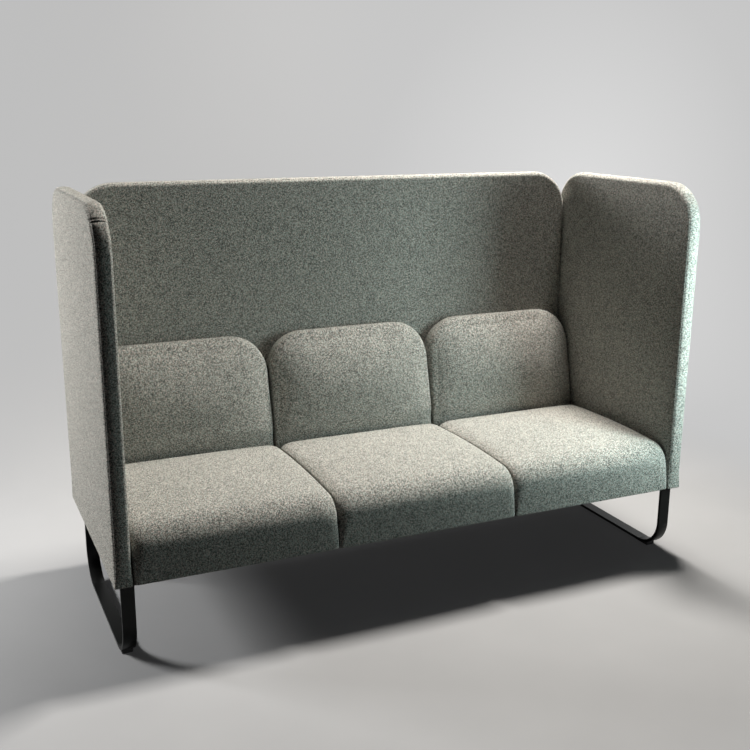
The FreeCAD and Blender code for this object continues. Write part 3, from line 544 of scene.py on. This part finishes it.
class Cover:
    """Points, faces and cloth coordinates of a sewn cover, gathered before its mesh is made."""

    def __init__(self, cloth_shift):
        self.points = []
        self.faces = []
        self.cloth = []
        self.cloth_shift = np.array(cloth_shift)

    def add(self, points):
        """Numbers of new points, laid out as the points are."""
        first = len(self.points)
        self.points.extend(np.reshape(points, (-1, 3)))
        return np.arange(first, len(self.points)).reshape(points.shape[:-1])

    def quads(self, numbers, cloth):
        """Faces between neighbours in a grid of points."""
        def corners(grid):
            return np.stack([grid[:-1, :-1], grid[1:, :-1], grid[1:, 1:], grid[:-1, 1:]], axis=2)

        self.faces.extend(corners(numbers).reshape(-1, 4).tolist())
        self.cloth.append(corners(cloth + self.cloth_shift).reshape(-1, 2))

    def face(self, numbers, loop, corners, rise, mirror):
        """A padded face inside a row of points that is there already."""
        grid, u, v = fill(loop, corners)
        grid[..., 2] += rise(u, v)
        closed = np.append(numbers, numbers[0])
        laid = np.empty(grid.shape[:2], int)
        laid[0] = closed[corners[0]:corners[1] + 1]
        laid[:, -1] = closed[corners[1]:corners[2] + 1]
        laid[-1] = closed[corners[2]:corners[3] + 1][::-1]
        laid[:, 0] = closed[corners[3]:][::-1]
        laid[1:-1, 1:-1] = self.add(grid[1:-1, 1:-1])
        self.quads(laid, grid[..., :2] * (mirror, 1))
        return laid

    def rim(self, numbers, rows, outline, mirror):
        """The turned-over edge of a face, whose cloth goes on from the face's."""
        cloth = (rows[0][:, :2] + outline.normals * spread(rows)[..., None]) * (mirror, 1)
        self.quads(closed_rows(numbers), closed_rows(cloth))

    def band(self, numbers, rows, outline):
        """The strip between both seams, with its cloth laid along the outline."""
        across = closed_rows(spread(rows))
        along = np.broadcast_to(outline.along, across.shape)
        self.quads(closed_rows(numbers), np.stack([across, along], axis=2))

    def build(self, name, place):
        """The piece, with place giving each point's spot in the frame."""
        mesh = bpy.data.meshes.new(name)
        mesh.from_pydata(place(np.array(self.points)), [], self.faces)
        layer = mesh.uv_layers.new(name="weave")
        layer.data.foreach_set("uv", np.concatenate(self.cloth).ravel())
        shell = bmesh.new()
        shell.from_mesh(mesh)
        bmesh.ops.recalc_face_normals(shell, faces=shell.faces)
        shell.to_mesh(mesh)
        shell.free()
        mesh.shade_smooth()
        mesh.materials.append(FINISHES["upholstery"])
        piece = bpy.data.objects.new(name, mesh)
        bpy.context.scene.collection.objects.link(piece)
        return piece


def dome(rise, power, start=0.0):
    """Height of a padded face over its rim above a start, flatter in the middle the higher the power."""
    def height(u, v):
        v = np.clip((v - start) / (1 - start), 0, 1)
        return rise * (1 - np.abs(2 * u - 1) ** power) * (1 - np.abs(2 * v - 1) ** power)

    return height


def flat(u, v):
    """No rise of a face over its rim."""
    return 0 * u * v


def boxed_cover(name, outline, half, fronts, rears, softness, band_rows, bulge, rises, place, shift):
    """Two padded faces joined by a band and sewn at both shoulders.

    Returns the piece, the numbers of its points in rows from face to face, and those of its front face."""
    front, front_seam = shoulder_rows(outline, half, *fronts, softness)
    rear, rear_seam = shoulder_rows(outline, half, *rears, softness)
    rear = [row * (1, 1, -1) for row in reversed(rear)]
    middle = []
    for share in np.arange(1, band_rows) / band_rows:
        row = front[-1] * (1 - share) + rear[0] * share
        row[:, :2] += outline.normals * bulge(share)[:, None]
        middle.append(row)
    rows = np.array(front + middle + rear)
    last_seam = len(rows) - 1 - rear_seam

    cover = Cover(shift)
    numbers = cover.add(rows)
    cover.rim(numbers[:front_seam + 1], rows[:front_seam + 1], outline, 1)
    laid = place(rows.reshape(-1, 3)).reshape(rows.shape)
    cover.band(numbers[front_seam:last_seam + 1], laid[front_seam:last_seam + 1], outline)
    cover.rim(numbers[last_seam:][::-1], rows[last_seam:][::-1], outline, -1)
    face = cover.face(numbers[0], rows[0], outline.corners, rises[0], 1)
    cover.face(numbers[-1], rows[-1], outline.corners, lambda u, v: -rises[1](u, v), -1)
    return cover.build(name, place), numbers, face


def round_off(piece):
    """One level of subdivision over a sewn cover."""
    smooth = piece.modifiers.new("smooth", "SUBSURF")
    smooth.levels = 1
    smooth.render_levels = 1


def settle(piece, node):
    """A padded piece that stands for its CAD solid."""
    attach(piece, "root")
    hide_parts(node)


def ease(share):
    """A share from 0 to 1 that starts and ends gently."""
    share = np.clip(share, 0, 1)
    return share * share * (3 - 2 * share)


# Panels


def panel(name, box, half_width, across_count, place, seamed_corners=()):
    """A tall padded panel: two faces and a band, sewn at both arrises, with cross seams at some corners."""
    low, high = box[0].z, box[1].z
    outline = arch_outline(
        half_width, low, high, PANEL_CORNER, PANEL_FOOT_CORNER, across_count, PANEL_UPRIGHT_COUNT)
    height = outline.points[:, 1] - low
    softness = PANEL_FOOT_SOFTNESS + (1 - PANEL_FOOT_SOFTNESS) * ease(height / PANEL_SOFT_HEIGHT)
    for corner in seamed_corners:
        for step in (-CROSS_SEAM_STEP, CROSS_SEAM_STEP):
            outline.grooves[outline.corners[corner] + step] = CROSS_SEAM_GROOVE

    def bulge(share):
        return PANEL_BAND_BOW * 4 * share * (1 - share) * softness

    sewn = ((PANEL_ARRIS, PANEL_ARRIS), PANEL_SEAM_ANGLE)
    rise = dome(PANEL_PILLOW, PANEL_PILLOW_POWER)
    half = PANEL_THICKNESS / 2 - PANEL_SINK
    piece, _, _ = boxed_cover(
        name, outline, half, sewn, sewn, softness, PANEL_BAND_ROWS, bulge,
        (rise, rise), place, PANEL_CUTS[name])
    round_off(piece)
    settle(piece, f"{name}_cover")


def upright_side(box):
    """Places a side panel's points: across is along Y, depth along X."""
    middle = (box[0].x + box[1].x) / 2
    return lambda points: points[:, (2, 0, 1)] + (middle, 0, 0)


def upright_back(points):
    """Places the back panel's points: across is along X, depth towards the front."""
    middle = (back_panel[0].y + back_panel[1].y) / 2
    return points[:, (0, 2, 1)] * (1, -1, 1) + (0, middle, 0)


panel("left_panel", left_panel, SIDE_HALF_DEPTH, SIDE_COUNT, upright_side(left_panel), TOP_CORNERS)
panel("right_panel", right_panel, SIDE_HALF_DEPTH, SIDE_COUNT, upright_side(right_panel), TOP_CORNERS)
panel("back_panel", back_panel, BACK_HALF_WIDTH, BACK_PANEL_COUNT, upright_back)


# Cushions


def seat(name, shift):
    """A seat cushion with its waterfall front, and the points that its stuffing may move."""
    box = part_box(f"{name}_seat_cushion")
    middle = (box[0].x + box[1].x) / 2
    half = (box[1].x - box[0].x) / 2
    outline = seat_outline()
    rear_start, base_start = outline.corners[1:3]
    height = outline.points[:, 1] - box[0].z
    soft_share = ease(height / (box[1].z - box[0].z - SEAT_NOSE / 2))
    softness = SEAT_FOOT_SOFTNESS + (1 - SEAT_FOOT_SOFTNESS) * soft_share
    fade = np.linspace(1, SEAT_HIDDEN_SOFTNESS, base_start - rear_start)
    softness[rear_start:base_start] *= fade
    softness[base_start:] = SEAT_HIDDEN_SOFTNESS
    crown = np.zeros(len(height))
    crown[:rear_start] = np.sin(math.pi * np.linspace(0, 1, rear_start) ** SEAT_CROWN_SKEW)

    def bulge(share):
        return START_SHARE * SEAT_RISE * (1 - abs(2 * share - 1) ** SEAT_CROWN_POWER) * crown

    def place(points):
        return points[:, (2, 0, 1)] + (middle, 0, 0)

    sewn = (SEAT_SHOULDER[::-1], SEAT_SEAM_ANGLE)
    piece, numbers, _ = boxed_cover(
        f"{name}_seat", outline, half, sewn, sewn, softness, SEAT_ROWS, bulge,
        (flat, flat), place, shift)
    free = numbers[SEAT_HELD_ROWS:-SEAT_HELD_ROWS, SEAT_HELD_HEM:rear_start]
    settle(piece, f"{name}_seat_cushion")
    return piece, free.ravel().tolist()


def back_softness(height, low, high):
    """How far a back cushion's edges are rounded: fully at the top, little at the foot."""
    return BACK_FOOT_SOFTNESS + (1 - BACK_FOOT_SOFTNESS) * ease((height - low) / (high - low))


def back_cushion(name, shift):
    """A leaning back cushion with a sewn boxing, and the points that its stuffing may move."""
    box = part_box(f"{name}_back_cushion")
    middle = (box[0].x + box[1].x) / 2
    half = (box[1].x - box[0].x) / 2 - BACK_SIDE_GAP
    low, high = box[0].z, box[1].z
    slope = math.tan(math.radians(BACK_LEAN))
    seat_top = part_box(f"{name}_seat_cushion")[1].z - SEAT_BOW - SEAT_RISE
    outline = arch_outline(
        half, low, high, BACK_CORNER, BACK_FOOT_CORNER, BACK_TOP_COUNT, BACK_UPRIGHT_COUNT)
    softness = back_softness(outline.points[:, 1], low, high)
    rear_turn = BACK_REAR_SHOULDER[1] - BACK_TOP_DEPTH / 2
    front_turn = BACK_TOP_DEPTH / 2 - BACK_SHOULDER[1]
    rise = dome(START_SHARE * BACK_RISE, BACK_DOME_POWER, BACK_DOME_START)

    def roll(across, height):
        """How far the front falls back towards the sides and the top."""
        beside = np.maximum(BACK_CORNER - half + np.abs(across), 0)
        below = np.maximum(BACK_CORNER - high + height, 0)
        inside = BACK_CORNER - np.hypot(beside, below)
        into, over = (size * back_softness(height, low, high) for size in BACK_ROLL)
        return over * np.clip(1 - inside / into, 0, 1) ** BACK_ROLL_POWER

    def bulge(share):
        return np.zeros_like(softness)

    def place(points):
        """Depth is kept at the rear and round the shoulder, and stretched between them.

        The stretch gives the lean and the dome."""
        across, height, local = points.T
        share = np.clip((local - rear_turn) / (front_turn - rear_turn), 0, 1)
        tuck = BACK_TUCK * ease((seat_top + BACK_TUCK_HEIGHT - height) / BACK_TUCK_HEIGHT)
        lean = (high - height) * slope - roll(across, height) - tuck
        stretch = lean + rise((across + half) / (2 * half), (height - low) / (high - low))
        depth = local + BACK_TOP_DEPTH / 2 + stretch * share
        return np.column_stack([across + middle, back_face - PANEL_PILLOW - depth, height])

    sewn = (BACK_SHOULDER, BACK_SEAM_ANGLE)
    plain = (BACK_REAR_SHOULDER, None)
    piece, numbers, face = boxed_cover(
        f"{name}_back", outline, BACK_TOP_DEPTH / 2, sewn, plain, softness, BACK_BAND_ROWS, bulge,
        (flat, flat), place, shift)
    front = np.union1d(face, numbers[:BACK_FREE_ROWS])
    start = low + BACK_DOME_START * (high - low)
    free = front[read_points(piece.data)[front, 2] > start]
    settle(piece, f"{name}_back_cushion")
    return piece, free.tolist()


def read_points(mesh):
    """A mesh's points, one row each."""
    points = np.empty(len(mesh.vertices) * 3)
    mesh.vertices.foreach_get("co", points)
    return points.reshape(-1, 3)


def smoothed(mesh, field, free):
    """A field of moves over a mesh, evened out where its points are free."""
    edges = np.empty(len(mesh.edges) * 2, int)
    mesh.edges.foreach_get("vertices", edges)
    edges = edges.reshape(-1, 2)
    count = np.bincount(edges.ravel(), minlength=len(field))[:, None]
    for _ in range(SMOOTHING):
        around = np.zeros_like(field)
        np.add.at(around, edges[:, 0], field[edges[:, 1]])
        np.add.at(around, edges[:, 1], field[edges[:, 0]])
        field[free] = (around / count)[free]
    return field


def stuff(soft):
    """Blows the cushions' covers up between their sewn edges, then brings each to its own rise."""
    for piece, (free, _) in soft.items():
        held = sorted(set(range(len(piece.data.vertices))) - set(free))
        group = piece.vertex_groups.new(name="sewn")
        group.add(held, 1.0, "REPLACE")
        stuffing = piece.modifiers.new("stuffing", "CLOTH")
        cloth = stuffing.settings
        cloth.quality = 5
        cloth.mass = 0.3
        cloth.tension_stiffness = 30
        cloth.compression_stiffness = 30
        cloth.shear_stiffness = 15
        cloth.bending_stiffness = 2
        cloth.use_pressure = True
        cloth.uniform_pressure_force = 4
        cloth.vertex_group_mass = group.name
        cloth.effector_weights.gravity = 0
        stuffing.collision_settings.use_collision = False
        stuffing.point_cache.frame_start = 1
        stuffing.point_cache.frame_end = STUFFING_FRAMES
    scene = bpy.context.scene
    for number in range(1, STUFFING_FRAMES + 1):
        scene.frame_set(number)
    graph = bpy.context.evaluated_depsgraph_get()
    for piece, (free, rise) in soft.items():
        start = read_points(piece.data)
        swell = smoothed(piece.data, read_points(piece.evaluated_get(graph).data) - start, free)
        most = np.linalg.norm(swell, axis=1).max()
        piece.modifiers.remove(piece.modifiers["stuffing"])
        piece.vertex_groups.clear()
        piece.data.vertices.foreach_set("co", (start + swell * rise / most).ravel())
        piece.data.update()
    scene.frame_set(1)


def cushions():
    """Three seats and three backs, stuffed together."""
    soft = {}
    for number, name in enumerate(SEATS):
        piece, free = seat(name, (SEAT_CUT[0] + SEAT_CUT_STEP * number, SEAT_CUT[1]))
        soft[piece] = (free, SEAT_RISE * (1 - START_SHARE))
        piece, free = back_cushion(name, (BACK_CUT[0] + BACK_CUT_STEP * number, BACK_CUT[1]))
        soft[piece] = (free, BACK_RISE * (1 - START_SHARE))
    stuff(soft)
    for piece in soft:
        round_off(piece)


cushions()


# Dust cover


def dust_cover():
    """Thin black cloth stretched under the frame, sagging a little between what holds it."""
    low, high = dust_box
    u, v = np.meshgrid(*(np.linspace(0, 1, count + 1) for count in DUST_COUNTS), indexing="ij")
    drop = DUST_SAG * np.abs(np.sin(len(SEATS) * math.pi * u)) * np.sin(math.pi * v)
    across = low.x + (high.x - low.x) * u
    deep = low.y + (high.y - low.y) * v
    points = np.stack([across, deep, high.z - DUST_INSET - drop], axis=2)
    numbers = np.arange(points[..., 0].size).reshape(u.shape)
    quads = np.stack([numbers[:-1, :-1], numbers[:-1, 1:], numbers[1:, 1:], numbers[1:, :-1]], axis=2)
    mesh = bpy.data.meshes.new("dust_sheet")
    mesh.from_pydata(points.reshape(-1, 3), [], quads.reshape(-1, 4).tolist())
    mesh.shade_smooth()
    mesh.materials.append(FINISHES["dust_cloth"])
    sheet = bpy.data.objects.new("dust_sheet", mesh)
    bpy.context.scene.collection.objects.link(sheet)
    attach(sheet, "root")
    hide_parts("dust_cover")


dust_cover()


# Frame, legs and hardware


def dress_frame():
    """Gives each CAD node its detailed finish, and the bars and blocks eased edges."""
    for name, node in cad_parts.items():
        for slot in node.material_slots:
            slot.material = FINISHES[slot.material.name]
        if name.endswith(EASED):
            weld = node.modifiers.new("weld", "WELD")
            weld.merge_threshold = WELD_GAP
            bevel = node.modifiers.new("ease", "BEVEL")
            bevel.width = EDGE_EASE
            bevel.segments = 2
            bevel.limit_method = "ANGLE"
            bevel.angle_limit = math.radians(EDGE_ANGLE)
            bevel.harden_normals = True


dress_frame()


# Stage, lights and camera


def showing_rays(tree):
    """1 on the rays that show the background: from the camera, off gloss and through clear things."""
    path = tree.nodes.new("ShaderNodeLightPath")
    showing = path.outputs["Is Camera Ray"]
    for name in ("Is Glossy Ray", "Is Transmission Ray"):
        either = tree.nodes.new("ShaderNodeMath")
        either.operation = "MAXIMUM"
        tree.links.new(showing, either.inputs[0])
        tree.links.new(path.outputs[name], either.inputs[1])
        showing = either.outputs[0]
    return showing


def sweep_paint():
    """Pale matt paint near the sofa, with a faint painted glow of its own that lifts the sofa's shadow,
    fading farther off to a painted pool of light on the wall, brightest behind the sofa's right; dim grey
    to bounced light, and clear from behind.
    """
    g = Graph("studio_sweep")
    place = g.add("TexCoord").outputs["Object"]
    mottle = g.noise(place, 3.0, 3.0)
    pale = g.ramp(mottle, ((0.3, (0.42, 0.425, 0.435)), (0.7, (0.44, 0.445, 0.455))))
    matt = g.add("BsdfDiffuse", {"Color": pale})
    # The floor's faint glow is painted fill light, which lifts the sofa's shadow on the floor
    faint = g.add("Emission", {"Color": pale, "Strength": FLOOR_GLOW})
    paint = g.add("AddShader", {0: matt.outputs[0], 1: faint.outputs[0]})
    # Painted pool of light: the wall glows brightest at GLOW_PLACE, behind the sofa's right, and dims
    # farther from it
    away = g.math("DIVIDE", g.distance(place, GLOW_PLACE), GLOW_REACH)
    glow = g.ramp(away, ((0.0, (0.74, 0.74, 0.74)), (0.35, (0.58, 0.58, 0.58)), (0.8, BEYOND)))
    wall = g.add("Emission", {"Color": glow})
    reach = g.distance(g.vector("MULTIPLY", place, (1.0, 1.0, 0.0)), (0.0, 0.0, 0.0))
    fade = g.add("MapRange", {0: reach, 1: FADE[0], 2: FADE[1]}, interpolation_type="SMOOTHSTEP").outputs[0]
    backdrop = g.add("MixShader", {0: fade, 1: paint.outputs[0], 2: wall.outputs[0]})
    dim = g.add("BsdfDiffuse", {"Color": (0.07, 0.07, 0.07, 1)})
    floor = g.add("MixShader", {0: showing_rays(g.tree), 1: dim.outputs[0], 2: backdrop.outputs[0]})
    clear = g.add("BsdfTransparent")
    rear = g.add("NewGeometry").outputs["Backfacing"]
    shown = g.add("MixShader", {0: rear, 1: floor.outputs[0], 2: clear.outputs[0]})
    g.tree.links.new(shown.outputs[0], g.output.inputs[0])
    return g.material


def stage():
    """A pale sweep: a floor that takes the shadow, a curve behind the sofa, and a wall."""
    turn = np.linspace(0, math.pi / 2, SWEEP_STEPS)
    wall_place = SWEEP_START + SWEEP_RADIUS
    y = np.concatenate([[-SWEEP_REACH], SWEEP_START + SWEEP_RADIUS * np.sin(turn), [wall_place]])
    z = np.concatenate([[0], SWEEP_RADIUS * (1 - np.cos(turn)), [SWEEP_HEIGHT]])
    points = [(x, *spot) for spot in zip(y, z) for x in (-SWEEP_REACH, SWEEP_REACH)]
    faces = [(2 * i, 2 * i + 1, 2 * i + 3, 2 * i + 2) for i in range(len(y) - 1)]
    mesh = bpy.data.meshes.new("sweep")
    mesh.from_pydata(points, [], faces)
    mesh.shade_smooth()
    mesh.materials.append(sweep_paint())
    sweep = bpy.data.objects.new("sweep", mesh)
    bpy.context.scene.collection.objects.link(sweep)
    return sweep


def softbox(name, place, target, size, watts, colour):
    """A rectangular studio light turned to a target."""
    light = bpy.data.lights.new(name, "AREA")
    light.shape = "RECTANGLE"
    light.size, light.size_y = size
    light.energy = watts
    light.color = colour
    lamp = bpy.data.objects.new(name, light)
    lamp.location = place
    lamp.rotation_euler = (Vector(target) - Vector(place)).to_track_quat("-Z", "Y").to_euler()
    lamp.visible_camera = False
    bpy.context.scene.collection.objects.link(lamp)
    return lamp


def spare(lamp, sweep):
    """Keeps a lamp's light off the floor."""
    spared = bpy.data.collections.new("spared")
    spared.objects.link(sweep)
    spared.collection_objects[0].light_linking.link_state = "EXCLUDE"
    lamp.light_linking.receiver_collection = spared


def surround():
    """A faint even light all round, with a pale grey beyond the sweep."""
    world = bpy.data.worlds.new("studio")
    world.use_nodes = True
    tree = world.node_tree
    faint = tree.nodes["Background"]
    faint.inputs["Color"].default_value = (0.8, 0.82, 0.84, 1)
    faint.inputs["Strength"].default_value = SURROUND_STRENGTH
    beyond = tree.nodes.new("ShaderNodeBackground")
    beyond.inputs["Color"].default_value = (*BEYOND, 1)
    both = tree.nodes.new("ShaderNodeMixShader")
    tree.links.new(showing_rays(tree), both.inputs[0])
    tree.links.new(faint.outputs[0], both.inputs[1])
    tree.links.new(beyond.outputs[0], both.inputs[2])
    tree.links.new(both.outputs[0], tree.nodes["World Output"].inputs[0])
    bpy.context.scene.world = world


def lights(sweep):
    """A warm light overhead, one at each side behind the sofa, and a cool one close to its right front."""
    softbox("overhead", (1.1, 0.46, 3.05), (0.1, -0.05, 0.4), (0.8, 0.25), 152, (1.0, 0.955, 0.89))
    softbox("left", (-3.0, 1.2, 1.42), (-0.9, 0.0, 0.8), (0.8, 0.6), 86, (1.0, 0.99, 0.97))
    right = softbox("right", (3.2, 1.1, 1.15), (0.9, 0.0, 0.75), (0.8, 0.3), 46, (1.0, 0.99, 0.97))
    front = softbox("front", (1.22, -0.80, 0.95), (0.2, 0.25, 0.75), (0.2, 0.9), 13, (0.79, 1.0, 0.98))
    for lamp in (right, front):
        spare(lamp, sweep)


def camera():
    """The photograph's viewpoint."""
    yaw, pitch, roll = (math.radians(x) for x in (CAMERA_YAW, CAMERA_PITCH, CAMERA_ROLL))
    forward = Vector((math.sin(yaw) * math.cos(pitch), math.cos(yaw) * math.cos(pitch), math.sin(pitch)))
    level = Vector((math.cos(yaw), -math.sin(yaw), 0))
    up = level.cross(forward)
    right = level * math.cos(roll) + up * math.sin(roll)
    view = bpy.data.cameras.new("photograph")
    view.lens = CAMERA_LENS
    view.sensor_width = SENSOR
    eye = bpy.data.objects.new("photograph", view)
    turn = Matrix((right, right.cross(forward), -forward)).transposed()
    eye.matrix_world = Matrix.Translation(CAMERA_PLACE) @ turn.to_4x4()
    bpy.context.scene.collection.objects.link(eye)
    bpy.context.scene.camera = eye


lights(stage())
surround()
camera()
bpy.context.scene.view_settings.view_transform = "Standard"
